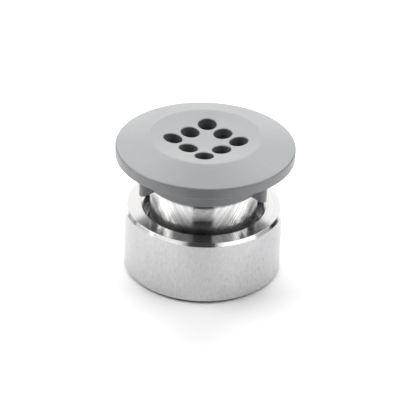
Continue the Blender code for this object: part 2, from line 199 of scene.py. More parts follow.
def add_thread(work, root_r, tip_r, pitch, low, high):
    """A helical ridge on a cylinder of radius root_r, which fades in and out over half a turn."""
    turns = (high - low) / pitch - 1
    sink = math.copysign(0.05 * MM, root_r - tip_r)  # how far the ridge's foot lies in the cylinder
    foot = root_r + sink
    least_fade = 0.04
    flank_share = 0.46
    crest_share = 0.08

    def section(turn):
        fade = max(least_fade, min(1, 2 * turn, 2 * (turns - turn)))
        tip = root_r + (tip_r - root_r) * fade
        flank = flank_share * pitch * fade
        crest = crest_share * pitch * fade
        z = low + pitch * (turn + 0.5)
        return [(foot, z - flank), (tip, z - crest), (tip, z + crest), (foot, z + flank)]

    wind(work, section, turns)


def prism(work, outline, low, high):
    """An upright prism over a closed (x, y) outline."""
    lower = [work.verts.new((x, y, low)) for x, y in outline]
    upper = [work.verts.new((x, y, high)) for x, y in outline]
    bridge(work, lower, upper)
    work.faces.new(lower)
    work.faces.new(upper)


def finished_mesh(name, work):
    bmesh.ops.recalc_face_normals(work, faces=work.faces)
    mesh = bpy.data.meshes.new(name)
    work.to_mesh(mesh)
    work.free()
    mesh.shade_smooth()
    mesh.set_sharp_from_angle(angle=SHARP)
    return mesh


def combined(piece, name, work, operation):
    """Adds or cuts a shape with a Boolean, and keeps the result as the piece's own mesh."""
    other = bpy.data.objects.new(name, finished_mesh(name, work))
    bpy.context.scene.collection.objects.link(other)
    modifier = piece.modifiers.new(name, "BOOLEAN")
    modifier.operation = operation
    modifier.solver = "EXACT"
    modifier.object = other
    graph = bpy.context.evaluated_depsgraph_get()
    mesh = bpy.data.meshes.new_from_object(piece.evaluated_get(graph))
    piece.modifiers.clear()
    piece.data = mesh
    bpy.data.objects.remove(other)
    mesh.set_sharp_from_angle(angle=SHARP)


def show(node, work, finishes, body, zone=None):
    """Makes the piece that stands for a CAD node.

    Where there are several finishes, zone picks a face's own from its centre's radius and height.
    """
    mesh = finished_mesh(f"{node}_detail", work)
    for finish in finishes:
        mesh.materials.append(finish)
    if zone:
        for face in mesh.polygons:
            centre = Vector(face.center)
            face.material_index = zone(centre.xy.length, centre.z)
    piece = bpy.data.objects.new(f"{node}_detail", mesh)
    bpy.context.scene.collection.objects.link(piece)
    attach(piece, body)
    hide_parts(node)
    return piece


def keep_flats_flat(piece):
    """Weighs the normals by face area, so that a rounded edge doesn't shade the flat beside it."""
    modifier = piece.modifiers.new("flat_normals", "WEIGHTED_NORMAL")
    modifier.keep_sharp = True


# Materials

class Finish:
    """One procedural material, and the few node shapes that they are all made from."""

    def __init__(self, name, color, roughness, metallic):
        self.material = bpy.data.materials.new(name)
        self.material.use_nodes = True
        self.nodes = self.material.node_tree.nodes
        self.links = self.material.node_tree.links
        self.shader = self.nodes["Principled BSDF"]
        self.shader.inputs["Base Color"].default_value = (*color, 1)
        self.shader.inputs["Roughness"].default_value = roughness
        self.shader.inputs["Metallic"].default_value = metallic
        self.color = color
        self.roughness = roughness
        self.place = self.nodes.new("ShaderNodeTexCoord").outputs["Object"]
        self.normal = None

    def math(self, operation, first, second=0.0):
        node = self.nodes.new("ShaderNodeMath")
        node.operation = operation
        for socket, value in zip(node.inputs, (first, second)):
            if isinstance(value, bpy.types.NodeSocket):
                self.links.new(value, socket)
            else:
                socket.default_value = value
        return node.outputs[0]

    def stretched(self, scale):
        """The place on the piece, scaled by axis: a large number gives fine detail along that axis."""
        node = self.nodes.new("ShaderNodeVectorMath")
        node.operation = "MULTIPLY"
        self.links.new(self.place, node.inputs[0])
        node.inputs[1].default_value = scale
        return node.outputs[0]

    def lathe_place(self, spacing, around):
        """(r, round, z) in tool-mark spacings, so that a noise on it runs round the axis."""
        flat = self.stretched((1, 1, 0))
        length = self.nodes.new("ShaderNodeVectorMath")
        length.operation = "LENGTH"
        self.links.new(flat, length.inputs[0])
        parts = self.nodes.new("ShaderNodeSeparateXYZ")
        self.links.new(self.place, parts.inputs[0])
        joined = self.nodes.new("ShaderNodeCombineXYZ")
        self.links.new(self.math("DIVIDE", length.outputs["Value"], spacing), joined.inputs[0])
        self.links.new(self.math("DIVIDE", parts.outputs[0], around), joined.inputs[1])
        self.links.new(self.math("DIVIDE", parts.outputs[2], spacing), joined.inputs[2])
        return joined.outputs[0]

    def slanted(self, slant, spacing, length):
        """Places for long thin streaks of painted highlight on the bell's wall, which lean alike left and
        right of its front.
        """
        parts = self.nodes.new("ShaderNodeSeparateXYZ")
        self.links.new(self.place, parts.inputs[0])
        forward = self.math("MULTIPLY", parts.outputs[1], -1.0)
        turn = self.math("ABSOLUTE", self.math("ARCTAN2", parts.outputs[0], forward))
        side = self.math("MULTIPLY", turn, BELL_R)
        height = parts.outputs[2]
        side_across = self.math("MULTIPLY", side, math.cos(slant))
        height_across = self.math("MULTIPLY", height, math.sin(slant))
        across = self.math("SUBTRACT", side_across, height_across)
        side_along = self.math("MULTIPLY", side, math.sin(slant))
        height_along = self.math("MULTIPLY", height, math.cos(slant))
        along = self.math("ADD", side_along, height_along)
        joined = self.nodes.new("ShaderNodeCombineXYZ")
        self.links.new(self.math("DIVIDE", across, spacing), joined.inputs[0])
        self.links.new(self.math("DIVIDE", along, length), joined.inputs[1])
        return joined.outputs[0]

    def noise(self, place, detail=2.0):
        node = self.nodes.new("ShaderNodeTexNoise")
        node.inputs["Scale"].default_value = 1.0
        node.inputs["Detail"].default_value = detail
        self.links.new(place, node.inputs["Vector"])
        return node.outputs["Fac"]

    def grain(self, fineness, detail=2.0):
        """A noise that is the same along every axis."""
        return self.noise(self.stretched((fineness, fineness, fineness)), detail)

    def remap(self, value, low, high):
        """Spreads the middle of a noise over low to high."""
        node = self.nodes.new("ShaderNodeMapRange")
        node.inputs["From Min"].default_value = 0.3
        node.inputs["From Max"].default_value = 0.7
        node.inputs["To Min"].default_value = low
        node.inputs["To Max"].default_value = high
        self.links.new(value, node.inputs["Value"])
        return node.outputs["Result"]

    def bump(self, height, depth):
        """Raises the surface by height times depth, in metres, on top of what came before."""
        node = self.nodes.new("ShaderNodeBump")
        node.inputs["Strength"].default_value = 1.0
        node.inputs["Distance"].default_value = depth
        self.links.new(height, node.inputs["Height"])
        if self.normal:
            self.links.new(self.normal, node.inputs["Normal"])
        self.normal = node.outputs["Normal"]
        self.links.new(self.normal, self.shader.inputs["Normal"])

    def vary_roughness(self, value, spread):
        varied = self.remap(value, self.roughness - spread, self.roughness + spread)
        self.links.new(varied, self.shader.inputs["Roughness"])

    def vary_color(self, value, spread):
        """Lightens and darkens the colour by a share of itself."""
        mix = self.nodes.new("ShaderNodeMix")
        mix.data_type = "RGBA"
        self.links.new(self.remap(value, 0.0, 1.0), mix.inputs["Factor"])
        colors = [socket for socket in mix.inputs if socket.type == "RGBA"]
        for socket, factor in zip(colors, (1 - spread, 1 + spread)):
            socket.default_value = (*[channel * factor for channel in self.color], 1)
        result = [socket for socket in mix.outputs if socket.type == "RGBA"][0]
        self.links.new(result, self.shader.inputs["Base Color"])


def turned_steel(name, color, roughness, spacing, depth):
    """Steel with tool marks round the axis, and a faint mottle in its polish."""
    finish = Finish(name, color, roughness, 1.0)
    mark_length = 40 * MM
    marks = finish.noise(finish.lathe_place(spacing, mark_length))
    finish.bump(marks, depth)
    mottle = finish.grain(900)
    finish.vary_roughness(mottle, roughness * 0.06)
    finish.vary_color(marks, 0.04)
    return finish


def across_marks(finish, amount):
    """Spreads the shine across the tool marks that run round the axis."""
    quarter_turn = 0.25
    tangent = finish.nodes.new("ShaderNodeTangent")
    tangent.direction_type = "RADIAL"
    tangent.axis = "Z"
    finish.links.new(tangent.outputs[0], finish.shader.inputs["Tangent"])
    finish.shader.inputs["Anisotropic"].default_value = amount
    finish.shader.inputs["Anisotropic Rotation"].default_value = quarter_turn


def wall_steel():
    """The sleeve's outside: finely brushed up and down, with a cloudy grain."""
    finish = Finish("sleeve_wall_steel", (0.55, 0.55, 0.555), 0.3, 1.0)
    grain = finish.noise(finish.stretched((9000, 9000, 900)))
    finish.bump(grain, 0.0004 * MM)
    cloud = finish.noise(finish.stretched((2400, 2400, 900)), 4.0)
    finish.vary_roughness(cloud, 0.04)
    finish.vary_color(cloud, 0.075)
    return finish.material


def rim_steel():
    """A faced end: tool marks round the axis spread its shine across them."""
    finish = turned_steel("sleeve_rim_steel", (0.39, 0.385, 0.38), 0.17, 0.25 * MM, 0.0003 * MM)
    across_marks(finish, 0.6)
    return finish.material


def edge_steel():
    return turned_steel("polished_edge_steel", (0.74, 0.74, 0.74), 0.15, 0.08 * MM, 0.0004 * MM).material


def bore_steel_painted_shade():
    """The counterbore, darkened below the outside's colour as painted shade in the recess."""
    # the dark base colour is painted shade in the counterbore
    return turned_steel("sleeve_bore_steel", (0.19, 0.19, 0.195), 0.26, 0.25 * MM, 0.0006 * MM).material


def inner_steel():
    return turned_steel("inner_turned_steel", (0.55, 0.55, 0.56), 0.3, 0.12 * MM, 0.004 * MM).material


def bell_steel():
    """Turned, with a comb of slanting streaks painted into its colour as highlight edges, which mirrors
    from side to side.
    """
    painted_streak_slant = math.radians(35)
    painted_streak_spacing = 0.36 * MM
    painted_streak_length = 14 * MM
    finish = turned_steel("bell_turned_steel", (0.78, 0.775, 0.77), 0.245, 0.25 * MM, 0.0002 * MM)
    across_marks(finish, 0.93)
    painted_streaks = finish.noise(finish.slanted(painted_streak_slant, painted_streak_spacing, painted_streak_length), 0.0)
    # the comb lightens and darkens the colour in slanting streaks: painted highlight edges, mirrored about
    # the front
    finish.vary_color(painted_streaks, 0.17)
    return finish.material


def wire_steel():
    finish = Finish("drawn_wire_steel", (0.5, 0.5, 0.52), 0.26, 1.0)
    finish.bump(finish.noise(finish.stretched((6000, 6000, 1500))), 0.003 * MM)
    finish.vary_color(finish.grain(1500), 0.08)
    return finish.material


def ball_steel():
    finish = Finish("ground_ball_steel", (0.7, 0.7, 0.71), 0.07, 1.0)
    finish.vary_roughness(finish.grain(3000), 0.02)
    return finish.material


def brass():
    finish = Finish("turned_brass", (0.72, 0.54, 0.27), 0.26, 1.0)
    marks = finish.noise(finish.lathe_place(0.08 * MM, 5 * MM))
    finish.bump(marks, 0.003 * MM)
    finish.vary_color(finish.grain(1200), 0.1)
    return finish.material


def silicone():
    finish = Finish("moulded_silicone", (0.72, 0.7, 0.66), 0.55, 0.0)
    finish.bump(finish.grain(5000), 0.006 * MM)
    finish.vary_color(finish.grain(700), 0.04)
    finish.shader.inputs["Subsurface Weight"].default_value = 0.1
    finish.shader.inputs["Subsurface Scale"].default_value = 0.5 * MM
    return finish.material


def ptfe():
    finish = Finish("cut_ptfe", (0.84, 0.84, 0.82), 0.42, 0.0)
    finish.bump(finish.noise(finish.lathe_place(0.1 * MM, 4 * MM)), 0.004 * MM)
    finish.vary_color(finish.grain(900), 0.03)
    return finish.material


def cap_plastic(name, shade):
    """Matt grey moulding with the fine grain that a spark-eroded mould leaves. A shade below 1 darkens the
    colour as painted shade.
    """
    finish = Finish(name, (0.235 * shade, 0.245 * shade, 0.252 * shade), 0.34, 0.0)
    finish.bump(finish.grain(4200, 3.0), 0.008 * MM)
    finish.vary_roughness(finish.grain(2500), 0.06)
    finish.vary_color(finish.grain(450, 4.0), 0.025)
    return finish.material


# Housing

def make_sleeve():
    """Ground tube with a polished chamfer round its faced rim and a counterbore inside."""
    foot_r = SLEEVE_R - 0.5 * MM
    foot_z = SLEEVE_Z + 0.6 * MM
    chamfer_r = SLEEVE_R - 0.5 * MM
    chamfer_z = SLEEVE_TOP - 0.8 * MM
    mouth_chamfer = 0.5 * MM
    step_z = GUIDE_TOP + 0.02 * MM
    work = bmesh.new()
    spin(work, softened([
        (THREAD_R, SLEEVE_Z, 0.25 * MM),
        (foot_r, SLEEVE_Z, 0.06 * MM),
        (SLEEVE_R, foot_z, 0.15 * MM),
        (SLEEVE_R, chamfer_z, 0.08 * MM),
        (chamfer_r, SLEEVE_TOP, 0.06 * MM),
        (COUNTERBORE_R + mouth_chamfer, SLEEVE_TOP, 0.06 * MM),
        (COUNTERBORE_R, SLEEVE_TOP - mouth_chamfer, 0.06 * MM),
        (COUNTERBORE_R, step_z, 0.05 * MM),
        (THREAD_R, step_z),
    ]))

    wall, rim, edge, bore = range(4)
    near = 0.1 * MM
    very_near = 0.002 * MM

    def zone(r, z):
        if r > SLEEVE_R - near and z < chamfer_z:
            return wall
        if z > SLEEVE_TOP - very_near:
            return rim
        if r > COUNTERBORE_R + near and z > chamfer_z - 2 * near:
            return edge
        return bore

    # the bore's darker steel is painted shade
    finishes = [wall_steel(), rim_steel(), edge_steel(), bore_steel_painted_shade()]
    keep_flats_flat(show("sleeve", work, finishes, "housing", zone))


def make_guide_ring(finish):
    inner = 12.5 * MM
    outer = THREAD_R - 0.02 * MM
    work = bmesh.new()
    spin(work, washer_outline(inner, outer, GUIDE_Z, GUIDE_TOP, 0.15 * MM))
    keep_flats_flat(show("guide_ring", work, [finish], "housing"))


def make_seat_gasket(finish):
    outer, low, high = reach("seat_gasket")
    inner = 12.8 * MM
    work = bmesh.new()
    spin(work, washer_outline(inner, outer, low, high, 0.12 * MM))
    keep_flats_flat(show("seat_gasket", work, [finish], "housing"))


def make_base_cup(finish):
    """Turned cup that screws into the sleeve, with a threaded socket for the lid's stub in its boss."""
    floor_z = 1.4 * MM
    wall_r = 13.9 * MM
    boss_r = 6.8 * MM
    boss_top = 7.0 * MM
    undercut_r = SCREEN_R + GAP
    socket_top = SCREEN_TOP + GAP
    undercut_z = 3.4 * MM
    thread_depth = 0.5 * MM
    root_r = SOCKET_R + thread_depth
    spanner_pitch_r = 10.4 * MM
    spanner_hole_r = 1.25 * MM
    spanner_hole_facets = 40
    spanner_hole_top = CUP_Z + 0.6 * MM
    cutter_z = -1 * MM  # below the cup's foot
    work = bmesh.new()
    spin(work, softened([
        (INLET_R, socket_top, 0.1 * MM),
        (undercut_r, socket_top),
        (undercut_r, undercut_z),
        (root_r, undercut_z),
        (root_r, CUP_Z, 0.3 * MM),
        (CUP_R, CUP_Z, 0.25 * MM),
        (CUP_R, CUP_TOP, 0.1 * MM),
        (wall_r, CUP_TOP, 0.1 * MM),
        (wall_r, floor_z, 0.4 * MM),
        (boss_r, floor_z, 0.4 * MM),
        (boss_r, boss_top, 0.25 * MM),
        (INLET_R, boss_top, 0.25 * MM),
    ]))
    cup = show("base_cup", work, [finish], "housing")
    for side, x in (("left", -spanner_pitch_r), ("right", spanner_pitch_r)):
        cutter = bmesh.new()
        outline = circle_outline(x, 0, spanner_hole_r, spanner_hole_facets)
        prism(cutter, outline, cutter_z, spanner_hole_top)
        combined(cup, f"spanner_hole_{side}", cutter, "DIFFERENCE")
    keep_flats_flat(cup)
    make_cup_threads(finish, root_r, undercut_z)


def make_cup_threads(finish, socket_root_r, socket_end_z):
    """The ridges in the cup's socket and round its wall."""
    pitch = 1 * MM
    tip_r = THREAD_R - 0.03 * MM
    end_gap = 0.2 * MM
    work = bmesh.new()
    add_thread(work, socket_root_r, SOCKET_R, pitch, CUP_Z + 0.1 * MM, socket_end_z)
    add_thread(work, CUP_R, tip_r, pitch, CUP_Z + end_gap, CUP_TOP - end_gap)
    thread = bpy.data.objects.new("base_cup_threads", finished_mesh("base_cup_threads", work))
    thread.data.materials.append(finish)
    bpy.context.scene.collection.objects.link(thread)
    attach(thread, "housing")


def make_inlet_seal(finish):
    outer, low, high = reach("inlet_seal")
    inner = 3.3 * MM
    work = bmesh.new()
    spin(work, washer_outline(inner, outer, low, high, 0.25 * MM), SMALL_FACETS)
    keep_flats_flat(show("inlet_seal", work, [finish], "housing"))


def make_inlet_screen(finish):
    """Thin disc with its holes on two circles round one in the middle."""
    pitch = 1.15 * MM
    hole_r = 0.4 * MM
    edge = 0.06 * MM
    plate_r = SCREEN_R - edge
    holes = []
    for circle in range(3):
        holes.extend(circle_outline(0, 0, circle * pitch, max(1, 6 * circle)))
    work = bmesh.new()
    rings = perforated_plate(
        work, plate_r, holes, hole_r, edge, lambda r: SCREEN_TOP, lambda r: SCREEN_Z, SMALL_FACETS
    )
    outline = arc(plate_r, SCREEN_TOP - edge, edge, 90, 0, BEND_STEPS)
    outline += arc(plate_r, SCREEN_Z + edge, edge, 0, -90, BEND_STEPS)
    close_rim(work, rings, outline, SMALL_FACETS)
    show("inlet_screen", work, [finish], "housing")


def plate_pattern(outer, holes, wide, facets, hole_facets):
    """Points and triangles of a flat disc with holes of radius wide.

    The points of the disc's own edge come first, then those of each hole's edge.
    """
    loops = [circle_outline(0, 0, outer, facets)]
    loops += [circle_outline(x, y, wide, hole_facets) for x, y in holes]
    points = []
    edges = []
    for loop in loops:
        first = len(points)
        points.extend(Vector(point) for point in loop)
        for step in range(len(loop)):
            edges.append((first + step, first + (step + 1) % len(loop)))
    spacing = max(0.45 * MM, outer / 24)
    for ring in range(1, int(outer / spacing)):
        radius = ring * spacing
        if radius >= outer - spacing / 2:
            continue
        for point in circle_outline(0, 0, radius, round(2 * math.pi * radius / spacing)):
            if all(math.dist(point, hole) > wide + spacing / 2 for hole in holes):
                points.append(Vector(point))
    inner_triangles = 1  # the triangulation keeps what lies inside the outer edge
    merge_distance = 1e-9
    result = delaunay_2d_cdt(points, edges, [], inner_triangles, merge_distance)
    flat = result[0]
    chord = wide * math.cos(math.pi / hole_facets)
    solid = []
    for corners in result[2]:
        middle = sum((flat[index] for index in corners), Vector((0, 0))) / len(corners)
        if all((middle - Vector(hole)).length > chord for hole in holes):
            solid.append(corners)
    return flat, solid


def perforated_plate(work, outer, holes, hole_r, edge, top_z, bottom_z, facets):
    """Two perforated skins out to radius outer, joined through the holes, whose edges are rounded.

    Gives the outer ring of the upper skin and of the lower one.
    """
    facet = 0.12 * MM
    hole_facets = max(24, round(2 * math.pi * hole_r / facet / 4) * 4)
    wide = hole_r + edge
    flat, triangles = plate_pattern(outer, holes, wide, facets, hole_facets)
    skins = []
    for height in (top_z, bottom_z):
        verts = [work.verts.new((point.x, point.y, height(point.length))) for point in flat]
        for corners in triangles:
            work.faces.new([verts[index] for index in corners])
        skins.append(verts)
    for number, hole in enumerate(holes):
        first = facets + number * hole_facets
        last = first + hole_facets
        rim = flat[first:last]
        loops = [skins[0][first:last]]
        for step in range(1, BEND_STEPS + 1):
            loops.append(hole_loop(work, Vector(hole), rim, wide, edge, step, top_z, -1))
        for step in range(BEND_STEPS, 0, -1):
            loops.append(hole_loop(work, Vector(hole), rim, wide, edge, step, bottom_z, 1))
        loops.append(skins[1][first:last])
        for upper, lower in zip(loops, loops[1:]):
            bridge(work, upper, lower)
    return [skins[0][:facets], skins[1][:facets]]


def hole_loop(work, centre, rim, wide, edge, step, height, inward):
    """One loop of a hole's rounded edge: step 0 is on the skin, step BEND_STEPS is on the hole's wall."""
    angle = math.pi / 2 * step / BEND_STEPS
    radius = wide - edge * math.sin(angle)
    verts = []
    for point in rim:
        place = centre + (point - centre).normalized() * radius
        z = height(point.length) + inward * edge * (1 - math.cos(angle))
        verts.append(work.verts.new((place.x, place.y, z)))
    return verts


def close_rim(work, rings, outline, facets):
    """Joins the two skins of a perforated plate by an (r, z) outline, from the upper one to the lower."""
    inner = [on_circle(work, r, z, facets) for r, z in outline[1:-1]]
    loops = [rings[0], *inner, rings[1]]
    for upper, lower in zip(loops, loops[1:]):
        bridge(work, upper, lower)


def spring(work, mean_r, wire, low, high, turns, end_pitch):
    """A compression spring of round wire, whose first and last turns lie closed."""
    active_pitch = (high - low - wire - 2 * end_pitch) / (turns - 2)

    def section(turn):
        z = low + wire / 2 + end_pitch * min(turn, 1) + end_pitch * max(turn - turns + 1, 0)
        z += active_pitch * min(max(turn - 1, 0), turns - 2)
        return circle_outline(mean_r, z, wire / 2, WIRE_FACETS)

    wind(work, section, turns)


def make_return_spring(finish):
    wire = 0.9 * MM
    mean_r = 7.9 * MM
    turns = 8
    end_pitch = 1.15 * MM
    low, high = reach("return_spring")[1:]
    work = bmesh.new()
    spring(work, mean_r, wire, low, high, turns, end_pitch)
    piece = show("return_spring", work, [finish], "housing")
    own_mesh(piece)


# Plunger

def make_bell_plunger(finish):
    """Turned bell: flange, wall, rounded shoulder, neck with two grooves, and the valve boss inside."""
    shoulder_r = 1.8 * MM
    shoulder_steps = 16
    crown_z = THRUST_Z - GAP
    roof_z = 20.2 * MM
    pendant_z = 12.6 * MM
    pendant_r = 5.6 * MM
    bore_r = 3.3 * MM
    bore_z = 13.9 * MM
    screw_bore_z = 24.8 * MM
    screw_bore_r = SCREW_R + GAP
    flange_top = FLANGE_Z + 1.1 * MM
    groove = 0.06 * MM
    oring_groove_r = 5.3 * MM
    clip_groove_r = 5.7 * MM
    oring_z = 24.0 * MM
    oring_top = 25.2 * MM
    clip_groove_z = CLIP_Z - GAP
    clip_groove_top = CLIP_TOP + GAP
    work = bmesh.new()
    spin(work, softened([
        (BELL_R - BELL_WALL, FLANGE_Z, 0.15 * MM),
        (FLANGE_R, FLANGE_Z, 0.15 * MM),
        (FLANGE_R, flange_top, 0.15 * MM),
        (BELL_R, flange_top, 0.1 * MM),
        *arc(BELL_R - shoulder_r, crown_z - shoulder_r, shoulder_r, 0, 90, shoulder_steps),
        (NECK_R, crown_z, 0.2 * MM),
        (NECK_R, oring_z, groove),
        (oring_groove_r, oring_z, groove),
        (oring_groove_r, oring_top, groove),
        (NECK_R, oring_top, groove),
        (NECK_R, clip_groove_z, groove),
        (clip_groove_r, clip_groove_z, groove),
        (clip_groove_r, clip_groove_top, groove),
        (NECK_R, clip_groove_top, groove),
        (NECK_R, NECK_TOP, 0.25 * MM),
        (screw_bore_r, NECK_TOP, 0.2 * MM),
        (screw_bore_r, screw_bore_z, 0.1 * MM),
        (bore_r, screw_bore_z, 0.1 * MM),
        (bore_r, bore_z, 0.1 * MM),
        (INLET_R, bore_z, 0.1 * MM),
        (INLET_R, pendant_z, 0.1 * MM),
        (pendant_r, pendant_z, 0.4 * MM),
        (pendant_r, roof_z, 0.4 * MM),
        (BELL_R - BELL_WALL, roof_z, 0.4 * MM),
    ]))
    keep_flats_flat(show("bell_plunger", work, [finish], "plunger"))


def make_spring_washer(finish):
    outer, low, high = reach("spring_washer")
    inner = 6.2 * MM
    work = bmesh.new()
    spin(work, washer_outline(inner, outer, low, high, 0.08 * MM), SMALL_FACETS)
    keep_flats_flat(show("spring_washer", work, [finish], "plunger"))


def make_relief_seat(finish):
    hole_r = 1.5 * MM
    cone = 0.7 * MM
    work = bmesh.new()
    spin(work, softened([
        (hole_r, SEAT_Z, 0.1 * MM),
        (SEAT_R, SEAT_Z, 0.1 * MM),
        (SEAT_R, SEAT_TOP, 0.1 * MM),
        (hole_r + cone, SEAT_TOP, 0.08 * MM),
        (hole_r, SEAT_TOP - cone, 0.08 * MM),
    ]), SMALL_FACETS)
    keep_flats_flat(show("relief_seat", work, [finish], "plunger"))


def make_relief_spring(finish):
    wire = 0.45 * MM
    mean_r = 1.9 * MM
    turns = 4
    end_pitch = 0.6 * MM
    low, high = reach("relief_spring")[1:]
    work = bmesh.new()
    spring(work, mean_r, wire, low, high, turns, end_pitch)
    piece = show("relief_spring", work, [finish], "plunger")
    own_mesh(piece)


def make_adjusting_screw(finish):
    edge = 0.15 * MM
    hex_r = 1.45 * MM
    work = bmesh.new()
    spin(work, softened([
        (0, SCREW_Z),
        (SCREW_R, SCREW_Z, edge),
        (SCREW_R, SCREW_TOP, edge),
        (0, SCREW_TOP),
    ]), SMALL_FACETS)
    screw = show("adjusting_screw", work, [finish], "plunger")
    cutter = bmesh.new()
    prism(cutter, circle_outline(0, 0, hex_r, 6), SCREW_Z - OVERSHOOT, SCREW_TOP + OVERSHOOT)
    combined(screw, "hex_socket", cutter, "DIFFERENCE")
    keep_flats_flat(screw)


def make_lock_nut(finish):
    outer, low, high = reach("lock_nut")
    hole_r = 2.2 * MM
    slot_w = 1.0 * MM
    slot_start = hole_r + 0.3 * MM
    work = bmesh.new()
    spin(work, washer_outline(hole_r, outer, low, high, 0.12 * MM), SMALL_FACETS)
    nut = show("lock_nut", work, [finish], "plunger")
    cutter = bmesh.new()
    for side in (-1, 1):
        inner = side * slot_start
        end = side * 2 * outer
        slot = [(inner, -slot_w / 2), (end, -slot_w / 2), (end, slot_w / 2), (inner, slot_w / 2)]
        prism(cutter, slot, (low + high) / 2, high + OVERSHOOT)
    combined(nut, "nut_slots", cutter, "DIFFERENCE")
    keep_flats_flat(nut)


def make_thrust_washer(finish):
    inner = 6.5 * MM
    work = bmesh.new()
    spin(work, washer_outline(inner, HUB_R, THRUST_Z, THRUST_TOP, 0.08 * MM), SMALL_FACETS)
    keep_flats_flat(show("thrust_washer", work, [finish], "plunger"))


def make_neck_o_ring(finish):
    outer, low, high = reach("neck_o_ring")
    section_r = 0.3 * MM
    section_facets = 24
    work = bmesh.new()
    section = circle_outline(outer - section_r, (low + high) / 2, section_r, section_facets)
    spin(work, section, SMALL_FACETS)
    show("neck_o_ring", work, [finish], "plunger")


def make_cap_circlip(finish):
    """Open ring with rounded ends and a plier hole near each."""
    arc_steps = 96
    end_steps = 12
    hole_r = 0.4 * MM
    hole_facets = 20
    inner = NECK_R - 0.15 * MM
    half = math.radians(20)
    end_r = (CLIP_R - inner) / 2
    middle_r = (CLIP_R + inner) / 2
    start = half + end_r / middle_r
    outline = []
    for radius, ends in ((CLIP_R, (start, 2 * math.pi - start)), (inner, (2 * math.pi - start, start))):
        for step in range(arc_steps + 1):
            angle = ends[0] + (ends[1] - ends[0]) * step / arc_steps
            outline.append((radius * math.cos(angle), radius * math.sin(angle)))
        middle = Vector((middle_r * math.cos(ends[1]), middle_r * math.sin(ends[1])))
        first = Vector(outline[-1]) - middle
        for step in range(1, end_steps):
            turn = Matrix.Rotation(math.pi * step / end_steps, 2)
            outline.append(tuple(middle + turn @ first))
    work = bmesh.new()
    prism(work, outline, CLIP_Z, CLIP_TOP)
    clip = show("cap_circlip", work, [finish], "plunger")
    cutter = bmesh.new()
    for side in (-1, 1):
        angle = side * start
        x = middle_r * math.cos(angle)
        y = middle_r * math.sin(angle)
        hole = circle_outline(x, y, hole_r, hole_facets)
        prism(cutter, hole, CLIP_Z - OVERSHOOT, CLIP_TOP + OVERSHOOT)
    combined(clip, "plier_holes", cutter, "DIFFERENCE")
    edge = clip.modifiers.new("edge", "BEVEL")
    edge.width = 0.05 * MM
    edge.segments = 2
    edge.limit_method = "ANGLE"
    edge.angle_limit = math.radians(60)
    keep_flats_flat(clip)


# Relief

def make_relief_ball(finish):
    centre_z = (BALL_Z + BALL_TOP) / 2
    steps = 48
    outline = arc(0, centre_z, BALL_R, -90, 90, steps)
    outline[0] = (0, BALL_Z)
    outline[-1] = (0, BALL_TOP)
    work = bmesh.new()
    spin(work, outline, SMALL_FACETS, closed=False)
    show("relief_ball", work, [finish], "relief")


def make_ball_follower(finish):
    """Guided piece with a cone that centres on the ball, and a spigot for the relief spring."""
    apex_z = (BALL_Z + BALL_TOP) / 2 + (BALL_R + GAP) * math.sqrt(2)
    recess_z = 20.4 * MM
    shoulder_z = 21.2 * MM
    lip_r = FOLLOWER_R - 0.3 * MM
    spigot_r = 1.1 * MM
    work = bmesh.new()
    spin(work, softened([
        (0, recess_z),
        (apex_z - recess_z, recess_z, 0.05 * MM),
        (lip_r, FOLLOWER_Z, 0.05 * MM),
        (FOLLOWER_R, FOLLOWER_Z, 0.1 * MM),
        (FOLLOWER_R, shoulder_z, 0.12 * MM),
        (spigot_r, shoulder_z, 0.08 * MM),
        (spigot_r, SPIGOT_TOP, 0.25 * MM),
        (0, SPIGOT_TOP),
    ]), SMALL_FACETS)
    keep_flats_flat(show("ball_follower", work, [finish], "relief"))


# Cap

CAP_TURN = math.radians(-1.8)
CREST_R = 12.25 * MM
CREST_ROUND = 0.35 * MM
DISH_RADIUS = 52.47 * MM
DISH_CENTRE_Z = 30.7 * MM
DISC_EDGE_Z = 30.1 * MM
DISC_Z = 27.5 * MM
VENT_HOLE_R = 2.05 * MM
VENT_PITCH = 5.1 * MM
COLLAR_R = 13.3 * MM
COLLAR_WALL = 1.6 * MM
COLLAR_Z = 21.9 * MM
CAVITY_TOP = 28.8 * MM
PLATE_R = 9.9 * MM  # the perforated middle of the cap
LEG_R = 15.9 * MM
LEG_W = 2.0 * MM
LEG_SLOPE = 0.214


def dish_z(r):
    """Height of the dished top at radius r."""
    return DISH_CENTRE_Z + DISH_RADIUS - math.sqrt(DISH_RADIUS**2 - r**2)


def margin_z(r):
    """Height of the sloping margin at radius r."""
    crest_z = dish_z(CREST_R)
    return crest_z + (DISC_EDGE_Z - crest_z) * (r - CREST_R) / (CAP_R - CREST_R)


def crest_points(steps):
    """The soft crest between the dish and the margin."""
    start = Vector((CREST_R - CREST_ROUND, dish_z(CREST_R - CREST_ROUND)))
    end = Vector((CREST_R + CREST_ROUND, margin_z(CREST_R + CREST_ROUND)))
    peak = Vector((CREST_R, dish_z(CREST_R)))
    points = []
    for step in range(steps + 1):
        t = step / steps
        points.append(tuple(start * (1 - t) ** 2 + peak * 2 * t * (1 - t) + end * t**2))
    return points


def cap_rim_outline():
    """From the perforated plate's top, over the margin and the collar, to the plate's underside."""
    outer_edge = 0.45 * MM
    crest_steps = 16
    corners = [(PLATE_R, dish_z(PLATE_R)), *crest_points(crest_steps)]
    corners += [
        (CAP_R, DISC_EDGE_Z, outer_edge),
        (CAP_R, DISC_Z, outer_edge),
        (COLLAR_R, DISC_Z, 0.3 * MM),
        (COLLAR_R, COLLAR_Z, 0.3 * MM),
        (COLLAR_R - COLLAR_WALL, COLLAR_Z, 0.3 * MM),
        (COLLAR_R - COLLAR_WALL, CAVITY_TOP, 0.4 * MM),
        (PLATE_R, CAVITY_TOP),
    ]
    return softened(corners)


def vent_holes():
    """Centres of the holes: a square grid of three by three on its corner, without the middle one."""
    turn = Matrix.Rotation(math.radians(45) + CAP_TURN, 2)
    holes = []
    for column in (-1, 0, 1):
        for row in (-1, 0, 1):
            if column != 0 or row != 0:
                holes.append(tuple(turn @ Vector((column * VENT_PITCH, row * VENT_PITCH))))
    return holes


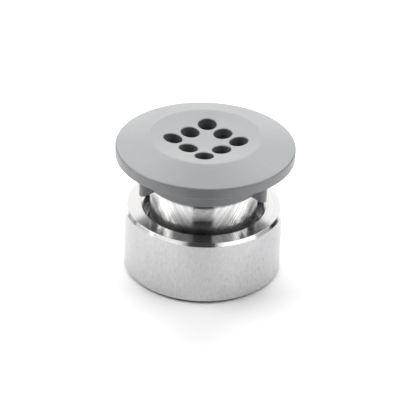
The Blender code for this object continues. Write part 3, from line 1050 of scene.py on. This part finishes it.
def add_leg(work, angle):
    """A radial rib under the disc with rounded sides, whose foot rises towards the collar."""
    foot_round = 0.35 * MM
    turn = Matrix.Rotation(angle, 3, "Z")
    loops = []
    for step in range(BEND_STEPS + 1):
        rise = math.pi / 2 * step / BEND_STEPS
        inset = foot_round * (1 - math.sin(rise))
        lift = foot_round * (1 - math.cos(rise))
        loops.append(leg_loop(work, turn, inset, lift))
    loops.append(leg_loop(work, turn, 0, None))
    for lower, upper in zip(loops, loops[1:]):
        bridge(work, lower, upper)
    work.faces.new(loops[0])
    work.faces.new(loops[-1])


def leg_loop(work, turn, inset, lift):
    """One level of a leg, drawn in by inset. It is lift above the sloping foot, or in the disc if None."""
    top_z = DISC_Z + 0.3 * MM
    half = LEG_W / 2 - inset
    inner = COLLAR_R - COLLAR_WALL / 2
    outer = LEG_R - inset
    plan = [(inner, -half)]
    for step in range(LEG_STEPS + 1):
        angle = math.radians(-90 + 180 * step / LEG_STEPS)
        plan.append((outer - half + half * math.cos(angle), half * math.sin(angle)))
    plan.append((inner, half))
    verts = []
    for u, v in plan:
        foot = LEG_Z + LEG_SLOPE * (LEG_R - u)
        z = top_z if lift is None else foot + lift
        verts.append(work.verts.new(turn @ Vector((u, v, z))))
    return verts


def make_vent_cap():
    """Dished and perforated disc with its collar, and a hub, spokes and legs joined to it."""
    hub_z = THRUST_TOP + GAP
    hub_top = CLIP_Z - GAP
    hole_edge = 0.22 * MM
    work = bmesh.new()
    rings = perforated_plate(
        work, PLATE_R, vent_holes(), VENT_HOLE_R, hole_edge, dish_z, lambda r: CAVITY_TOP, FACETS
    )
    close_rim(work, rings, cap_rim_outline(), FACETS)
    bore_low = CAVITY_TOP + 0.02 * MM
    bore_depth = 0.18 * MM

    def zone(r, z):
        """1 on the holes' walls, which take the darker copy of the plastic as painted shade, 0 elsewhere.
        """
        in_painted_shade = r < PLATE_R and bore_low < z < dish_z(r) - bore_depth
        return 1 if in_painted_shade else 0

    # the darker copy on the holes' walls is painted shade in the holes
    finishes = [cap_plastic("cap_grey_plastic", 1.0), cap_plastic("cap_hole_painted_shade_plastic", 0.45)]
    cap = show("vent_cap", work, finishes, "cap", zone)
    inside_collar = COLLAR_R - COLLAR_WALL / 2
    hub_bore_r = NECK_R + GAP
    spoke_half = 0.8 * MM
    hub = bmesh.new()
    spin(hub, washer_outline(hub_bore_r, HUB_R, hub_z, hub_top, 0.2 * MM), SMALL_FACETS)
    combined(cap, "hub", hub, "UNION")
    for index in range(3):
        angle = math.radians(90 + 120 * index) + CAP_TURN
        turn = Matrix.Rotation(angle, 2)
        spoke = bmesh.new()
        inner = HUB_R - spoke_half
        plan = [
            (inner, -spoke_half),
            (inside_collar, -spoke_half),
            (inside_collar, spoke_half),
            (inner, spoke_half),
        ]
        prism(spoke, [tuple(turn @ Vector(corner)) for corner in plan], hub_z, hub_top)
        combined(cap, f"spoke_{index}", spoke, "UNION")
        leg = bmesh.new()
        add_leg(leg, angle)
        combined(cap, f"leg_{index}", leg, "UNION")
    keep_flats_flat(cap)


# Studio

AIM = Vector((0, 0, SLEEVE_TOP))
ELEVATION = math.radians(30.59)
ROLL = math.radians(1.93)
CAMERA_DISTANCE = 446.6 * MM
LENS = 180.9
SENSOR = 36
SHIFT = (-0.0092, 0.0073)
LAMP_DISTANCE = 0.7


def make_camera():
    """A long lens in front of the part, looking down on it."""
    data = bpy.data.cameras.new("photo_camera")
    data.lens = LENS
    data.sensor_width = SENSOR
    data.shift_x, data.shift_y = SHIFT
    data.clip_start = 10 * MM
    camera = bpy.data.objects.new("photo_camera", data)
    bpy.context.scene.collection.objects.link(camera)
    back = Vector((0, -math.cos(ELEVATION), math.sin(ELEVATION)))
    camera.location = AIM + back * CAMERA_DISTANCE
    camera.rotation_mode = "QUATERNION"
    upright = (-back).to_track_quat("-Z", "Y")
    camera.rotation_quaternion = upright @ Matrix.Rotation(ROLL, 3, "Z").to_quaternion()
    bpy.context.scene.camera = camera


def toward(azimuth, elevation):
    """Unit vector from the part: azimuth in degrees from +X towards +Y, elevation above the floor."""
    a = math.radians(azimuth)
    e = math.radians(elevation)
    return Vector((math.cos(a) * math.cos(e), math.sin(a) * math.cos(e), math.sin(e)))


def add_softbox(name, azimuth, elevation, width, height, radiance):
    """A white panel light that faces the part. Its brightness is given as the radiance of its face."""
    data = bpy.data.lights.new(name, "AREA")
    data.shape = "RECTANGLE"
    data.size = width
    data.size_y = height
    data.energy = radiance * math.pi * width * height
    lamp = bpy.data.objects.new(name, data)
    bpy.context.scene.collection.objects.link(lamp)
    direction = toward(azimuth, elevation)
    lamp.location = AIM + direction * LAMP_DISTANCE
    lamp.rotation_mode = "QUATERNION"
    lamp.rotation_quaternion = (-direction).to_track_quat("-Z", "Y")


def make_lights():
    """Boxes above, behind and at both sides, and two low strips beside the camera."""
    add_softbox("overhead_softbox", 90, 80, 0.6, 0.36, 1.2)
    add_softbox("back_high_softbox", 90, 50, 0.8, 0.3, 4.4)
    add_softbox("back_low_softbox", 90, 20, 0.8, 0.4, 2.2)
    add_softbox("left_softbox", 176, 46, 0.4, 0.4, 5.8)
    add_softbox("left_low_softbox", 180, 14, 0.4, 0.33, 0.8)
    add_softbox("right_softbox", 2, 46, 0.4, 0.4, 4.3)
    add_softbox("right_low_softbox", 0, 14, 0.4, 0.33, 0.5)
    add_softbox("back_left_softbox", 145, 12, 0.4, 0.28, 0.6)
    add_softbox("front_left_strip", 222, 27, 0.8, 0.13, 1.2)
    add_softbox("front_right_strip", -42, 27, 0.8, 0.13, 1.5)
    add_softbox("front_right_fill", -42, 27, 0.8, 0.5, 0.5)


def add_flag(name, corners):
    """A flat black card for the steel to mirror. The camera doesn't see it, and it casts no shadow."""
    finish = Finish(f"{name}_black", (0.012, 0.012, 0.012), 0.9, 0.0)
    finish.vary_color(finish.grain(40), 0.1)
    mesh = bpy.data.meshes.new(name)
    mesh.from_pydata(corners, [], [tuple(range(len(corners)))])
    mesh.materials.append(finish.material)
    flag = bpy.data.objects.new(name, mesh)
    bpy.context.scene.collection.objects.link(flag)
    flag.visible_camera = False
    flag.visible_shadow = False


def make_flags():
    """The dark lens side of the light tent, and its foot on the table out of the picture."""
    y = -0.3
    low_half = 0.8
    low_top = 0.10
    slot_half = 0.11
    slot_top = 0.42
    outline = [
        (-low_half, 0.0), (low_half, 0.0), (low_half, low_top), (slot_half, low_top),
        (slot_half, slot_top), (-slot_half, slot_top), (-slot_half, low_top), (-low_half, low_top),
    ]
    add_flag("lens_flag", [(x, y, z) for x, z in outline])
    foot_y = -0.05
    foot_half = 0.018
    foot_z = 1 * MM
    plan = [(-foot_half, foot_y), (foot_half, foot_y), (slot_half, y), (-slot_half, y)]
    add_flag("lens_flag_foot", [(x, depth, foot_z) for x, depth in plan])


def make_floor():
    finish = Finish("pale_floor", (0.96, 0.96, 0.965), 0.6, 0.0)
    finish.vary_color(finish.grain(60), 0.004)
    half = 4.0
    corners = [(-half, -half, 0), (half, -half, 0), (half, half, 0), (-half, half, 0)]
    mesh = bpy.data.meshes.new("floor")
    mesh.from_pydata(corners, [], [(0, 1, 2, 3)])
    mesh.materials.append(finish.material)
    floor = bpy.data.objects.new("floor", mesh)
    bpy.context.scene.collection.objects.link(floor)
    floor.location.z = -0.02 * MM  # just clear of the part's lowest faces


def make_world():
    """A dim tent for the light, which the camera itself sees as plain white."""
    world = bpy.data.worlds.new("light_tent")
    world.use_nodes = True
    nodes = world.node_tree.nodes
    links = world.node_tree.links
    dim = nodes["Background"]
    dim.inputs["Color"].default_value = (1, 1, 1, 1)
    dim.inputs["Strength"].default_value = 0.02
    backdrop = nodes.new("ShaderNodeBackground")
    backdrop.inputs["Color"].default_value = (1, 1, 1, 1)
    mix = nodes.new("ShaderNodeMixShader")
    links.new(nodes.new("ShaderNodeLightPath").outputs["Is Camera Ray"], mix.inputs["Fac"])
    links.new(dim.outputs[0], mix.inputs[1])
    links.new(backdrop.outputs[0], mix.inputs[2])
    links.new(mix.outputs[0], nodes["World Output"].inputs["Surface"])
    bpy.context.scene.world = world
    bpy.context.scene.view_settings.view_transform = "Standard"


def build():
    make_camera()
    inner = inner_steel()
    wire = wire_steel()
    rubber = silicone()
    gold = brass()
    make_sleeve()
    make_guide_ring(inner)
    make_seat_gasket(rubber)
    make_base_cup(inner)
    make_inlet_seal(rubber)
    make_inlet_screen(inner)
    make_return_spring(wire)
    make_bell_plunger(bell_steel())
    make_spring_washer(inner)
    make_relief_seat(inner)
    make_relief_spring(wire)
    make_adjusting_screw(gold)
    make_lock_nut(gold)
    make_thrust_washer(ptfe())
    make_neck_o_ring(rubber)
    make_cap_circlip(wire)
    make_relief_ball(ball_steel())
    make_ball_follower(inner)
    make_vent_cap()
    make_world()
    make_floor()
    make_flags()
    make_lights()


build()
